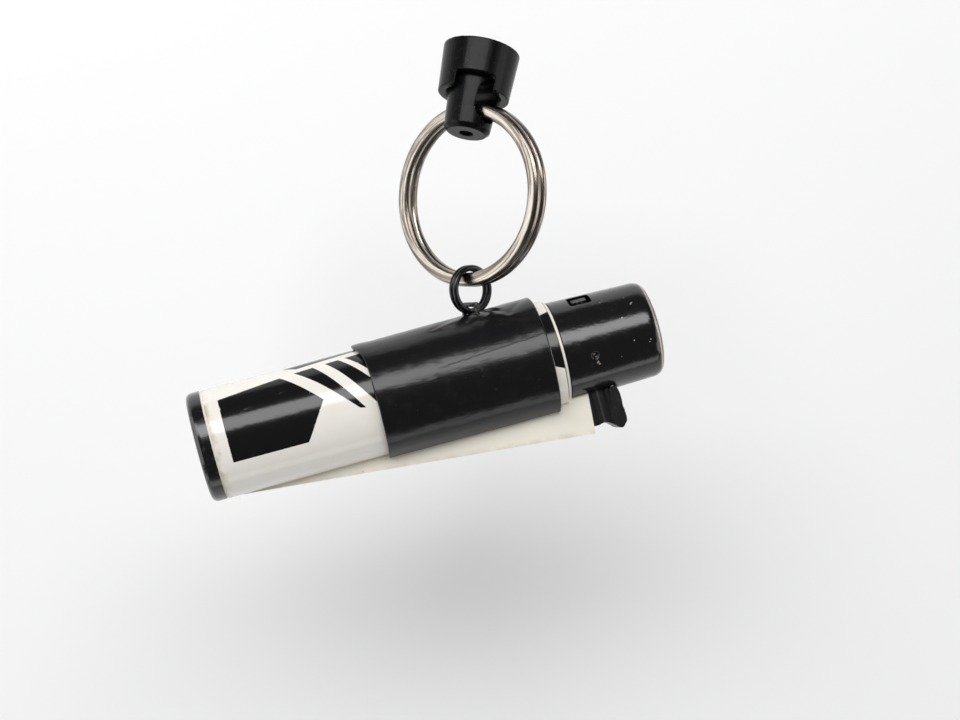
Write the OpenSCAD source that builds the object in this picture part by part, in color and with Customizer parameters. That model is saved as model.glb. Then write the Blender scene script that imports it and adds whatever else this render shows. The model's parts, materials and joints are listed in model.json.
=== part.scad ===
// Refillable gas lighter with a side rib and push button, hanging by a
// stretched sleeve, an eyelet and two split rings from a cord swivel.
// Millimetres, +Z up. The origin is the mouth of the cord bore in the top
// of the swivel collar. The lighter hangs at rest, hood end up and to +X.

/* [Lighter body] */
// overall length of the lighter, base plug to hood rim
lighter_len = 74; // [70:0.5:80]
// radius of the nylon tube under the printed film
body_r = 8.55; // [8:0.05:9]
// thickness of the printed film
film_t = 0.1; // [0.05:0.01:0.2]
// how far the rib's end reaches from the lighter's axis
rib_reach = 13.85; // [12:0.05:15]
// half the width of the rib at its end
rib_half = 3.1; // [2.6:0.1:3.6]
// where the rib ends, from the base
rib_end = 60.9; // [58:0.1:62]
// where the hood starts, from the base
hood_start = 58.3; // [56:0.1:60]

/* [Sleeve] */
// start of the sleeve, from the base
sleeve_start = 28; // [24:0.5:32]
// end of the sleeve, from the base
sleeve_end = 56; // [52:0.5:57]
// outer radius of the sleeve at its base end
sleeve_r0 = 9.35; // [9.1:0.05:9.8]
// outer radius of the sleeve at its hood end
sleeve_r1 = 9.68; // [9.3:0.05:10]

/* [Push button] */
// travel of the push button towards the base
button_travel = 2.6; // [2:0.1:2.8]

/* [Rings] */
// outer diameter of the large split ring
ring_od = 29; // [28:0.5:30]
// radial thickness of the large ring's strip
ring_w = 2.2; // [1.8:0.1:2.4]
// axial thickness of the large ring's two coils together
ring_t = 2.94; // [2.4:0.02:3.1]
// outer diameter of the small split ring
link_od = 7.8; // [7.4:0.1:8.2]
// radial thickness of the small ring's wire
link_w = 0.95; // [0.8:0.05:1]
// axial thickness of the small ring's two coils together
link_t = 1.75; // [1.5:0.05:1.9]

/* [Swivel] */
// radius of the swivel collar at its top
collar_r = 6.15; // [5.8:0.05:6.5]
// radius of the swivel post where it leaves the collar
post_r = 4.2; // [4:0.05:4.2]
// radius of the cord bore in the collar's top wall
cord_r = 0.8; // [0.6:0.05:1]

/* [Hang] */
// tilt of the lighter, hood end up
tilt = 14.97; // [10:0.1:20]
// turn of the lighter about the vertical, hood end back
yaw = 6.8; // [0:0.1:15]
// turn of the large ring about the vertical
ring_turn = -40; // [-60:1:-20]
// turn of the small ring about the vertical
link_turn = 40; // [20:1:50]
// lean of the swivel across the large ring
lean = -16; // [-25:1:0]

/* [Hidden] */
$fn = 64;
slot_z = -10.1;                               // ring seat below the collar top
up = [-sin(lean) * sin(-ring_turn), -sin(lean) * cos(ring_turn), cos(lean)];
seat = slot_z * up;                           // large ring's top, wire centre
ring_rm = (ring_od - ring_w) / 2;
ring_c = seat - [0, 0, ring_rm];
link_c = [seat[0], seat[1], ring_c[2] - ring_od / 2 + ring_w + 0.3 - (link_od / 2 - link_w)];
origin_l = [-43.95, -7.64, -62.96];
film_r = body_r + film_t;
valve_z = 0.8;                                // gas valve axis above the body axis
piezo_z = -6.05;                              // piezo axis below the body axis

// ---- placing ----
module in_lighter() { translate(origin_l) rotate([0, -tilt, 0]) rotate([0, 0, yaw]) children(); }
module in_swivel() { rotate([lean, 0, ring_turn]) children(); }
module in_ring() { translate(ring_c) rotate([90, 0, ring_turn]) children(); }
module in_link() { translate(link_c) rotate([90, 0, link_turn]) children(); }

// ---- helpers ----
// cylinder or cone along X
module xc(x0, x1, r0, r1 = -1, y = 0, z = 0)
    translate([x0, y, z]) rotate([0, 90, 0])
        cylinder(h = x1 - x0, r1 = r0, r2 = r1 < 0 ? r0 : r1);
// box between two corners
module bx(a, b) translate(a) cube(b - a);
// profile drawn as [x, r], turned round the X axis
module turned(p) rotate([0, 90, 0]) rotate_extrude() polygon([for (q = p) [q[1], q[0]]]);
// XZ outline pushed out to +-w in Y
module slab(p, w) translate([0, w, 0]) rotate([90, 0, 0]) linear_extrude(2 * w) polygon(p);
module rrect(w, h, r) {
    square([w - 2 * r, h], center = true);
    square([w, h - 2 * r], center = true);
    for (i = [-1, 1], j = [-1, 1]) translate([i * (w / 2 - r), j * (h / 2 - r)]) circle(r, $fn = 24);
}
// split ring: two coils with open ends, joined by a crossing
module split_ring(od, w, t, r, start, cross, gap) {
    rm = (od - w) / 2;
    c = t / 2 - 0.02;
    rotate([0, 0, start]) {
        rotate_extrude(angle = cross) translate([rm, 0]) rrect(w - 0.06, t - 0.06, r);
        rotate([0, 0, cross - 1]) rotate_extrude(angle = 361 - cross - gap)
            translate([rm, (t - c) / 2]) rrect(w, c, r);
        rotate([0, 0, cross + gap]) rotate_extrude(angle = 361 - cross - gap)
            translate([rm, -(t - c) / 2]) rrect(w, c, r);
    }
}
// coil spring along X as stacked rings on a thin spine
module coil(x0, x1, r, wire, turns, z) {
    p = (x1 - x0 - wire) / (turns - 1);
    for (i = [0:turns - 1]) translate([x0 + wire / 2 + i * p, 0, z]) rotate([0, 90, 0])
        rotate_extrude() translate([r, 0]) circle(d = wire, $fn = 16);
    xc(x0 + wire / 2, x1 - wire / 2, wire / 2.4, y = r, z = z);
}
module rib_prism(grow = 0, top = -5, down = 0)
    intersection() {
        slab([[4, top], [4, -body_r - down], [rib_end - 0.5, -rib_reach - down], [rib_end, -7], [rib_end, top]], 9);
        translate([0, 0, -20]) linear_extrude(20)
            polygon([[3, -0.45 - grow], [rib_end + 1, -rib_half - grow],
                     [rib_end + 1, rib_half + grow], [3, 0.45 + grow]]);
    }

// ---- swivel ----
module swivel_collar() color([0.07, 0.075, 0.08]) in_swivel()
    difference() {
        translate([0, 0, -7.8]) cylinder(h = 7.8, r1 = collar_r - 0.45, r2 = collar_r);
        translate([0, 0, -9]) cylinder(h = 5.8, r = post_r + 0.3);
        translate([0, 0, -3.2]) cylinder(h = 1.6, r = 5.25);
        translate([0, 0, -2]) cylinder(h = 3, r = cord_r);
        // front and back cut-outs, leaving a lobe on each side
        rotate([0, 0, -ring_turn]) {
            translate([-3.1, -8, -9]) cube([6.2, 16, 2.9]);
            translate([-2.5, -8, -9]) cube([5, 16, 3.5]);
            for (s = [-1, 1]) translate([s * 2.5, 8, -6.1]) rotate([90, 0, 0]) cylinder(h = 16, r = 0.6);
        }
    }
module swivel_post() color([0.06, 0.065, 0.07]) in_swivel()
    difference() {
        union() {
            translate([0, 0, -13.4]) cylinder(h = 7.6, r1 = post_r - 0.5, r2 = post_r);
            translate([0, 0, -5.9]) cylinder(h = 3, r = post_r);
            translate([0, 0, -3.1]) cylinder(h = 1.15, r = 4.95);
            translate([0, 0, -14]) cylinder(h = 0.6, r1 = post_r - 1.1, r2 = post_r - 0.5);
        }
        // cross slot for the large ring, rounded top and bottom
        translate([-6, -2.5, slot_z + 0.1]) cube([12, 5, 2]);
        for (z = [slot_z + 0.1, slot_z + 2.1]) translate([-6, 0, z]) rotate([0, 90, 0]) cylinder(h = 12, r = 2.5);
        translate([0, 0, -15]) cylinder(h = 3, r = 1.1);
        translate([0, 0, -4.6]) cylinder(h = 3, r = 1.6);
    }
module post_washer() color([0.5, 0.5, 0.52]) in_swivel()
    translate([0, 0, -1.95]) difference() {
        cylinder(h = 0.2, r = 4.7);
        translate([0, 0, -1]) cylinder(h = 3, r = 1.7);
    }

// ---- rings ----
module key_ring() color([0.6, 0.58, 0.54]) in_ring()
    split_ring(ring_od, ring_w, ring_t, 0.55, 84, 9, 3);
module link_ring() color([0.05, 0.05, 0.055]) in_link()
    split_ring(link_od, link_w, link_t, 0.3, 262, 16, 7);
module eyelet() color([0.62, 0.6, 0.58]) {
    in_link() {
        translate([0, -2.38, -1.5]) cylinder(h = 3, r = 0.38, $fn = 32);
        for (s = [-1, 1]) {
            translate([0, -2.38, s * 1.5]) sphere(0.38, $fn = 32);
            translate([0, -2.38, s * 1.5]) rotate([90, 0, 0]) cylinder(h = 2.1, r = 0.38, $fn = 32);
        }
    }
    in_lighter() intersection() {
        difference() { xc(44.2, 48.6, film_r + 0.26, y = 0); xc(44, 49, film_r + 0.03); }
        bx([44.2, -2.3, 6], [48.6, 2.3, 10]);
    }
}

// ---- outside of the lighter ----
module sleeve() color([0.045, 0.045, 0.05])
    difference() {
        in_lighter() difference() {
            xc(sleeve_start, sleeve_end, sleeve_r0, sleeve_r1);
            xc(sleeve_start - 0.1, sleeve_end + 0.1, film_r + 0.02, film_r + 0.1);
            slab([[20, -6], [70, -6], [70, -20], [20, -20]], 1.6);
            rib_prism(grow = 0.3, down = 3);
            intersection() {
                xc(43.9, 48.9, film_r + 0.3);
                bx([43.9, -2.6, 6], [48.9, 2.6, 10]);
            }
        }
        in_link() {
            translate([0, 0, -1.2]) cylinder(h = 2.4, r = link_od / 2 + 0.6);
            for (s = [-1, 1]) translate([0, -2.5, s * 1.5]) rotate([90, 0, 0]) cylinder(h = 3, r = 0.42, $fn = 32);
        }
    }
module print_film() color([0.93, 0.92, 0.9]) in_lighter()
    difference() {
        xc(2.6, 57.5, film_r);
        xc(2, 58, body_r);
        rib_prism(grow = 0.12, down = 2);
        slab([[0, -6], [5, -6], [5, -20], [0, -20]], 0.5);
    }
module tank_shell() color([0.9, 0.87, 0.8]) in_lighter()
    difference() {
        union() {
            xc(2.3, 57.6, body_r);
            xc(57.6, 58.1, 8.2);
            xc(58, 64.2, 7.5);
            rib_prism();
        }
        // tank, with the piezo channel's walls standing in it
        difference() {
            xc(2.2, 50, 7.35);
            bx([39.7, -3, -14], [51, 3, -3.5]);
        }
        xc(49.9, 52.1, 2.5, z = valve_z);
        xc(52, 65, 6.9);
        bx([40.6, -2.3, -7.9], [65, 2.3, -4.2]);
        bx([54.6, -2.6, -13.3], [65, 2.6, -4.2]);
        // the rib fills the hood's notch only as far as its end
        bx([rib_end, -4, -9], [65, 4, -3.9]);
        // way for the flame adjuster's arm
        rotate([24, 0, 0]) bx([58.6, -1.9, 5], [65, 1.9, 9]);
        // pockets for the hood's dimples
        for (s = [-1, 1]) rotate([s * 104, 0, 0]) translate([62.8, 0, 6]) cylinder(h = 3, r = 0.8);
        // lever pin
        translate([56.8, 7.2, -3]) rotate([90, 0, 0]) cylinder(h = 14.4, r = 0.5);
    }
module base_plug() color([0.03, 0.03, 0.035]) in_lighter()
    difference() {
        union() {
            turned([[0.25, 0], [0.25, 6.9], [0, 7.2], [0, 7.65], [0.08, 8.03], [0.29, 8.36],
                    [0.62, 8.57], [1, 8.65], [2.3, 8.65], [2.3, 7.3], [6.8, 7.3], [6.8, 0]]);
        }
        xc(-1, 2.6, 2.1);
        xc(2.5, 7, 1.5);
        difference() { xc(4.2, 5.6, 9); xc(4, 6, 6.11); }
        difference() { xc(5.9, 7, 5.4); xc(5.8, 7.1, 2.4); }
    }
module base_seal() color([0.05, 0.05, 0.05]) in_lighter()
    translate([4.9, 0, 0]) rotate([0, 90, 0]) rotate_extrude() translate([6.73, 0]) circle(0.62, $fn = 32);

// ---- refill valve in the base ----
module refill_body() color([0.75, 0.6, 0.3]) in_lighter()
    difference() {
        xc(2.6, 9.6, 1.5);
        xc(2.5, 4.7, 0.85);
        xc(4.6, 9, 1.2);
        xc(8.9, 9.7, 0.35);
    }
module refill_seal() color([0.06, 0.06, 0.06]) in_lighter()
    difference() { xc(4.6, 4.9, 1.2); xc(4.5, 5, 0.66); }
module refill_stem() color([0.75, 0.6, 0.3]) in_lighter() {
    xc(2.8, 5.2, 0.6);
    xc(4.95, 5.6, 0.95);
    xc(5.5, 6.5, 0.4);
}
module refill_spring() color([0.6, 0.6, 0.6]) in_lighter() coil(5.65, 8.95, 0.75, 0.22, 7, 0);

// ---- gas valve and burner ----
module wick() color([0.85, 0.83, 0.78]) in_lighter() xc(9.9, 47.4, 1.2, z = valve_z);
module valve_body() color([0.75, 0.6, 0.3]) in_lighter()
    difference() {
        union() {
            xc(46.6, 52, 2.5, z = valve_z);
            xc(52, 53.1, 3.6, z = valve_z);
            xc(53, 56.4, 2.1, z = valve_z);
        }
        xc(47.9, 57, 1.05, z = valve_z);
        xc(46.5, 47.4, 1.2, z = valve_z);
        xc(47.3, 48, 0.3, z = valve_z);
    }
module valve_seal() color([0.06, 0.06, 0.06]) in_lighter()
    difference() { xc(47.9, 48.5, 1.05, z = valve_z); xc(47, 49, 0.3, z = valve_z); }
module valve_stem() color([0.78, 0.63, 0.33]) in_lighter()
    difference() {
        union() { xc(48.55, 61.6, 0.95, z = valve_z); xc(57.9, 58.4, 1.7, z = valve_z); }
        xc(52, 62, 0.3, z = valve_z);
        translate([52, 2, valve_z]) rotate([90, 0, 0]) cylinder(h = 4, r = 0.25, $fn = 24);
    }
module valve_spring() color([0.6, 0.6, 0.6]) in_lighter() coil(58.45, 60.4, 1.3, 0.22, 4, valve_z);
module flame_adjuster() color([0.75, 0.74, 0.7]) in_lighter() {
    difference() {
        union() {
            xc(53.4, 54.8, 3.4, z = valve_z);
            rotate([24, 0, 0]) bx([53.4, -0.8, 3.2], [54.8, 0.8, 6.2]);
        }
        xc(53, 55, 2.2, z = valve_z);
    }
    rotate([24, 0, 0]) {
        bx([53.4, -0.8, 5.5], [64.3, 0.8, 6.2]);
        bx([62, -0.6, 6], [64.3, 0.6, 7.75]);
    }
}
module release_lever() color([0.55, 0.55, 0.56]) in_lighter()
    difference() {
        union() {
            slab([[56.3, -4.3], [57.3, -4.3], [57.7, -3], [57.8, -1], [57.8, 1.2], [57.2, 1.2], [56.9, -1.8], [56.1, -3.4]], 1.9);
            translate([56.8, 1.9, -3]) rotate([90, 0, 0]) cylinder(h = 3.8, r = 0.85);
        }
        bx([55, -1.2, -1.2], [59, 1.2, 3]);
        translate([56.8, 3, -3]) rotate([90, 0, 0]) cylinder(h = 6, r = 0.55);
    }
module lever_pin() color([0.6, 0.6, 0.62]) in_lighter()
    translate([56.8, 6.9, -3]) rotate([90, 0, 0]) cylinder(h = 13.8, r = 0.5);
module burner_tube() color([0.62, 0.6, 0.56]) in_lighter()
    difference() {
        union() {
            xc(61.8, 69.5, 2.3, z = valve_z);
            xc(60.5, 61.9, 2.9, z = valve_z);
            intersection() { bx([60.5, -7, -1.6], [61.3, 7, 3.2]); xc(60, 62, 6.9); }
        }
        xc(60, 62.2, 1.25, z = valve_z);
        xc(62.1, 70, 1.6, z = valve_z);
        for (a = [0, 90]) translate([63.4, 0, valve_z]) rotate([a, 0, 0]) translate([0, 0, -4]) cylinder(h = 8, r = 0.6, $fn = 24);
    }
module burner_head() color([0.45, 0.43, 0.4]) in_lighter()
    difference() {
        union() { xc(69.5, 71.6, 2.9, z = valve_z); xc(67.8, 69.6, 1.6, z = valve_z); }
        xc(67, 70.6, 1.1, z = valve_z);
        for (i = [0:6]) rotate([0, 0, 0]) translate([70, i == 0 ? 0 : 1.6 * cos(i * 60), valve_z + (i == 0 ? 0 : 1.6 * sin(i * 60))])
            rotate([0, 90, 0]) cylinder(h = 3, r = 0.42, $fn = 24);
        xc(70.2, 70.7, 2.2, z = valve_z);
    }
module electrode() color([0.6, 0.6, 0.62]) in_lighter() {
    xc(59.2, 70.8, 0.3, y = 4, z = -4.4);
    translate([70.8, 4, -4.4]) sphere(0.34, $fn = 24);
    translate([70.8, 4, -4.4]) rotate([38, 0, 0]) rotate([0, 15, 0]) cylinder(h = 2, r = 0.3, $fn = 24);
}
module electrode_lead() color([0.12, 0.12, 0.13]) in_lighter() {
    xc(52.1, 59.2, 0.5, y = 4, z = -4.4);
    translate([52.6, 2.2, -4.85]) rotate([-76, 0, 0]) cylinder(h = 1.86, r = 0.42, $fn = 32);
}

// ---- piezo unit and button ----
module piezo_case() color([0.15, 0.15, 0.16]) in_lighter()
    difference() {
        bx([40.9, -2.05, -7.7], [54, 2.05, -4.4]);
        xc(41.6, 55, 1.4, z = piezo_z);
    }
module piezo_crystal() color([0.5, 0.48, 0.42]) in_lighter() xc(41.6, 43.6, 1.1, z = piezo_z);
module piezo_anvil() color([0.62, 0.6, 0.56]) in_lighter() xc(43.6, 44.2, 1.1, z = piezo_z);
module piezo_hammer() color([0.66, 0.64, 0.6]) in_lighter() xc(44.65, 46.8, 1.32, z = piezo_z);
module hammer_spring() color([0.6, 0.6, 0.6]) in_lighter() coil(46.85, 50.4, 0.9, 0.3, 6, piezo_z);
module piezo_plunger() color([0.82, 0.8, 0.75]) in_lighter() {
    xc(50.45, 58.5, 1.1, z = piezo_z);
    xc(50.45, 53.2, 1.32, z = piezo_z);
    xc(58.4, 59, 1.6, z = piezo_z);
}
module return_spring() color([0.6, 0.6, 0.6]) in_lighter() coil(54.05, 58.35, 1.36, 0.3, 6, piezo_z);
module push_button() color([0.04, 0.04, 0.042]) in_lighter()
    difference() {
        union() {
            bx([59, -2.3, -12.8], [61.6, 2.3, -4.5]);
            slab([[61.4, -12.8], [62.2, -12.6], [62.9, -12.7], [63.6, -13.15], [64.4, -13.9], [64.8, -14.1],
                  [65.2, -14], [65.9, -13.2], [66, -12.6], [65.9, -8.6], [65.7, -7.8], [65.3, -7.4],
                  [64.8, -7.3], [61.4, -7.3]], 2.45);
            slab([[64, -13.5], [64.4, -13.9], [64.8, -14.1], [65.2, -14], [65.9, -13.2], [66, -12.6],
                  [65.9, -8.6], [65.7, -7.8], [65.3, -7.4], [64.8, -7.3], [64.2, -7.8]], 2.8);
        }
        // finger hollow in the pad and hollow sides of the neck
        translate([68.35, 6, -10.6]) rotate([90, 0, 0]) cylinder(h = 12, r = 2.5);
        for (s = [-1, 1]) translate([63, s * 3.6, -16]) cylinder(h = 12, r = 1.35);
    }
module hood() color([0.03, 0.03, 0.033]) in_lighter()
    difference() {
        turned([[hood_start, 7.65], [hood_start, 8.05], [72.3, 7.7], [72.9, 7.62], [73.38, 7.4],
                [73.72, 7.08], [73.93, 6.6], [lighter_len, 5.9], [73.98, 5.2], [73.75, 4.9],
                [73.45, 4.95], [73.5, 5.7], [73.45, 6.4], [73.3, 6.8], [73, 7.08], [72.6, 7.25],
                [72, 7.32], [64.5, 7.58]]);
        // notch for the rib's end and the button
        bx([58, -3.4, -9], [66.4, 3.4, -5]);
        // window over the flame adjuster's tab
        rotate([24, 0, 0]) {
            bx([61.9, -1.7, 7], [64.5, 1.7, 9]);
            bx([61.4, -1.2, 7], [65, 1.2, 9]);
            for (i = [-1, 1], j = [61.9, 64.5]) translate([j, i * 1.2, 7]) cylinder(h = 2, r = 0.5);
        }
        for (s = [-1, 1]) rotate([s * 104, 0, 0]) translate([62.8, 0, 8.15]) sphere(0.55, $fn = 32);
    }

swivel_collar();
swivel_post();
post_washer();
key_ring();
link_ring();
eyelet();
sleeve();
print_film();
tank_shell();
base_plug();
base_seal();
refill_body();
refill_seal();
refill_stem();
refill_spring();
wick();
valve_body();
valve_seal();
valve_stem();
valve_spring();
flame_adjuster();
release_lever();
lever_pin();
burner_tube();
burner_head();
electrode();
electrode_lead();
piezo_case();
piezo_crystal();
piezo_anvil();
piezo_hammer();
hammer_spring();
piezo_plunger();
return_spring();
push_button();
hood();
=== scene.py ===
# %% [markdown]
# # A refillable gas lighter hanging from a cord swivel
#
# The lighter hangs by a stretched rubber sleeve, a small eyelet and two split
# rings from a moulded swivel. This lesson dresses the measured model: it keeps
# every part where it is and gives each one its real surface. Parts whose form
# is richer than the measured solid are made again in the same place.

# %% Load the measured model
import json
import math
import bmesh
import bpy
from mathutils import Matrix, Vector, noise

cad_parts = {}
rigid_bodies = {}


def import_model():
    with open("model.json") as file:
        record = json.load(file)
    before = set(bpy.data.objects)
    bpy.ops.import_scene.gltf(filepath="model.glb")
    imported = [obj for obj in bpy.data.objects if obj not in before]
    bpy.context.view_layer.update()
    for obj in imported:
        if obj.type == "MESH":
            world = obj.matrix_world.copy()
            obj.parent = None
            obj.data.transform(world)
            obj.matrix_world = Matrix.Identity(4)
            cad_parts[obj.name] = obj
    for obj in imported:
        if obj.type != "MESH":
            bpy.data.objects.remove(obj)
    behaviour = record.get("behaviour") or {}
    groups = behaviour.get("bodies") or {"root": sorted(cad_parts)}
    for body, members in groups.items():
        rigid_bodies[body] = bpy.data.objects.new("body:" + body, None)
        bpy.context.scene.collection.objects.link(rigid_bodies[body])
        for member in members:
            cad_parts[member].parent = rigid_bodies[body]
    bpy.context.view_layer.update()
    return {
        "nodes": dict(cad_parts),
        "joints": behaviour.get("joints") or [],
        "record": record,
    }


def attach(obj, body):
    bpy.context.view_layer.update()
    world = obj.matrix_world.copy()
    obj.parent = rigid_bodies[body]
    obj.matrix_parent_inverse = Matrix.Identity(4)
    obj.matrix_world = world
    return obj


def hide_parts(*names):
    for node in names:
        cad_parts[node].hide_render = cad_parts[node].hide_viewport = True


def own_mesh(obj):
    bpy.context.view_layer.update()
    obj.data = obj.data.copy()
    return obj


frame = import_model()
MM = 0.001

# %% [markdown]
# ## Four places to work in
#
# Nothing here stands square to the room: the lighter is tilted, each ring is
# turned, the swivel leans. Each gets its own local frame in millimetres, read
# from the joints, so that a shape can be drawn straight and then placed.

# %% Local frames from the joints
joints = {j["name"]: j for j in frame["joints"]}
mounts = {m["name"]: m for m in frame["record"]["mounts"]}


def placed(x, y, origin):
    """Matrix from local millimetres to the room, from two axes and a point."""
    x, y = Vector(x).normalized(), Vector(y).normalized()
    z = x.cross(y).normalized()
    m = Matrix((x, z.cross(x), z)).transposed().to_4x4()
    m.translation = Vector(origin)
    return m @ Matrix.Scale(MM, 4)


PORT_DEPTH = 1.5 * MM
barrel = Vector(joints["refill_press"]["axis"])
LIGHTER = placed(barrel, joints["lever_tilt"]["axis"],
                 Vector(mounts["refill_port"]["pos_m"]) - barrel * PORT_DEPTH)
across = Vector(joints["ring_swing"]["axis"])
RING = placed(across, (0, 0, 1), joints["small_ring_slide"]["pos_m"])
link_axis = Vector(joints["lighter_swing"]["axis"])
LINK = placed(Vector((0, 0, 1)).cross(link_axis), (0, 0, 1),
              joints["lighter_swing"]["pos_m"])
post_up = Vector(joints["swivel_spin"]["axis"])
SWIVEL = placed(across, post_up.cross(across), (0, 0, 0))
print("lighter base at", [round(v, 4) for v in LIGHTER.translation])

# %% [markdown]
# ## A small kit for painting with nodes
#
# Worn things are never one colour. This helper holds a material and offers
# short calls for noise, soft thresholds, mixing and bump. Its coordinates are
# millimetres in one of the local frames, so a printed panel or a chip can be
# put at a measured place along and around the tube.

# %% The finish helper


class Finish:
    def __init__(self, name, local=LIGHTER):
        self.material = bpy.data.materials.new(name)
        self.material.use_nodes = True
        self.nodes = self.material.node_tree.nodes
        self.links = self.material.node_tree.links
        self.shader = self.nodes["Principled BSDF"]
        self.at = self.mapped(local.inverted())

    def mapped(self, matrix):
        coord = self.nodes.new("ShaderNodeTexCoord")
        place = self.nodes.new("ShaderNodeMapping")
        where, turn, size = matrix.decompose()
        place.inputs["Location"].default_value = where
        place.inputs["Rotation"].default_value = turn.to_euler()
        place.inputs["Scale"].default_value = size
        self.links.new(coord.outputs["Object"], place.inputs["Vector"])
        return place.outputs["Vector"]

    def put(self, value, socket):
        if isinstance(value, bpy.types.NodeSocket):
            self.links.new(value, socket)
        elif socket.type == "RGBA":
            socket.default_value = (*value, 1)
        else:
            socket.default_value = value

    def math(self, how, *values):
        node = self.nodes.new("ShaderNodeMath")
        node.operation = how
        for value, socket in zip(values, node.inputs):
            self.put(value, socket)
        return node.outputs[0]

    def times(self, a, b):
        return self.math("MULTIPLY", a, b)

    def plus(self, a, b):
        return self.math("ADD", a, b)

    def minus(self, a, b):
        return self.math("SUBTRACT", a, b)

    def vector(self, how, a, b):
        node = self.nodes.new("ShaderNodeVectorMath")
        node.operation = how
        self.put(a, node.inputs[0])
        self.put(b, node.inputs[1])
        return node.outputs["Value" if how in ("DOT_PRODUCT", "DISTANCE") else "Vector"]

    def split(self):
        node = self.nodes.new("ShaderNodeSeparateXYZ")
        self.links.new(self.at, node.inputs[0])
        return node.outputs

    def join(self, x, y, z):
        node = self.nodes.new("ShaderNodeCombineXYZ")
        for value, socket in zip((x, y, z), node.inputs):
            self.put(value, socket)
        return node.outputs[0]

    def noise(self, scale, detail=3.0, rough=0.5, at=None):
        node = self.nodes.new("ShaderNodeTexNoise")
        self.put(at or self.at, node.inputs["Vector"])
        for key, value in (("Scale", scale), ("Detail", detail), ("Roughness", rough)):
            node.inputs[key].default_value = value
        return node.outputs["Fac"]

    def cells(self, scale):
        node = self.nodes.new("ShaderNodeTexVoronoi")
        self.put(self.at, node.inputs["Vector"])
        node.inputs["Scale"].default_value = scale
        return node.outputs["Distance"]

    def soft(self, value, low, high, to_low=0.0, to_high=1.0):
        node = self.nodes.new("ShaderNodeMapRange")
        node.interpolation_type = "SMOOTHSTEP"
        for key, number in (("Value", value), ("From Min", low), ("From Max", high),
                            ("To Min", to_low), ("To Max", to_high)):
            self.put(number, node.inputs[key])
        return node.outputs["Result"]

    def mix(self, share, a, b):
        node = self.nodes.new("ShaderNodeMix")
        node.data_type = "RGBA"
        self.put(share, node.inputs[0])
        self.put(a, node.inputs[6])
        self.put(b, node.inputs[7])
        return node.outputs[2]

    def stretched(self, x, y, z):
        return self.vector("MULTIPLY", self.at, (x, y, z))

    def bump(self, height, depth_mm, strength=1.0):
        node = self.nodes.new("ShaderNodeBump")
        node.inputs["Strength"].default_value = strength
        node.inputs["Distance"].default_value = depth_mm * MM
        self.links.new(height, node.inputs["Height"])
        self.links.new(node.outputs["Normal"], self.shader.inputs["Normal"])

    def set(self, **values):
        for key, value in values.items():
            self.put(value, self.shader.inputs[key.replace("_", " ")])

    def around(self):
        """Distance along the tube and, from its top towards the viewer, the
        distance round the printed skin, both in millimetres."""
        s, y, z = self.split()
        angle = self.math("ARCTAN2", self.times(y, -1.0), z)
        return s, self.times(angle, SKIN_R)


SKIN_R = 8.65
print("finish helper ready")

# %% [markdown]
# ## Quiet materials first
#
# The small metal and plastic parts inside share a recipe: a base colour that
# drifts a little, a roughness that drifts with it, and a fine bump. One
# function makes them all, and only its numbers change.

# %% One recipe for the plain parts


def plain(name, colour, rough, metal=0.0, drift=0.25, grain=2.0, depth=0.01, dark=0.6):
    f = Finish(name)
    patch = f.noise(grain, 4, 0.6)
    shade = tuple(c * dark for c in colour)
    f.set(Base_Color=f.mix(f.soft(patch, 0.35, 0.7), colour, shade),
          Roughness=f.soft(patch, 0.3, 0.75, rough, min(1.0, rough + drift)))
    f.shader.inputs["Metallic"].default_value = metal
    f.bump(f.noise(grain * 9, 3, 0.6), depth)
    return f.material


finish_of = {
    "post_washer": plain("Zinc washer", (0.5, 0.5, 0.51), 0.3, 1.0),
    "base_seal": plain("Nitrile seal", (0.02, 0.02, 0.02), 0.5),
    "refill_body": plain("Valve brass", (0.72, 0.52, 0.22), 0.28, 1.0),
    "wick": plain("Felt wick", (0.78, 0.76, 0.7), 0.9, grain=5.0, depth=0.08),
    "lever_pin": plain("Bright steel", (0.6, 0.6, 0.61), 0.24, 1.0),
    "burner_tube": plain("Cast zinc", (0.5, 0.48, 0.45), 0.4, 1.0),
    "burner_head": plain("Heat-blued steel", (0.3, 0.27, 0.26), 0.38, 1.0, dark=0.4),
    "electrode_lead": plain("Lead insulation", (0.05, 0.05, 0.055), 0.45),
    "piezo_case": plain("Piezo housing", (0.04, 0.04, 0.045), 0.4),
    "piezo_crystal": plain("Piezo ceramic", (0.4, 0.37, 0.3), 0.7),
    "piezo_plunger": plain("White acetal", (0.8, 0.79, 0.74), 0.35),
}
for node, like in (("refill_seal", "base_seal"), ("valve_seal", "base_seal"),
                   ("refill_stem", "refill_body"), ("valve_body", "refill_body"),
                   ("valve_stem", "refill_body"), ("release_lever", "lever_pin"),
                   ("electrode", "lever_pin"), ("piezo_anvil", "lever_pin"),
                   ("piezo_hammer", "lever_pin")):
    finish_of[node] = finish_of[like]
print(len(finish_of), "inner parts have a finish")

# %% [markdown]
# ## The printed skin
#
# The tube wears a thin film printed in flat black on white. A printed shape
# with straight sides is the place where several half-planes overlap, so each
# side is one dot product and the shape is their minimum. Panels and a slanted
# bar are black, and two stripes are cut out of them. Their edges are nibbled by
# a fine noise, as ink chipped by keys in a pocket is. Dirt gathers in the seam
# by the base.

# %% The printed film


def printed(f, s, w, corners):
    """Signed distance into a convex patch; corners are (along mm, angle deg)."""
    points = [Vector((a, math.radians(b) * SKIN_R)) for a, b in corners]
    centre = sum(points, Vector((0, 0))) / len(points)
    spot = f.join(s, w, 1.0)
    inside = None
    for p, q in zip(points, points[1:] + points[:1]):
        n = Vector((p.y - q.y, q.x - p.x)).normalized()
        if n.dot(centre - p) < 0:
            n.negate()
        side = f.vector("DOT_PRODUCT", spot, (n.x, n.y, -n.dot(p)))
        inside = side if inside is None else f.math("MINIMUM", inside, side)
    return inside


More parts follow.
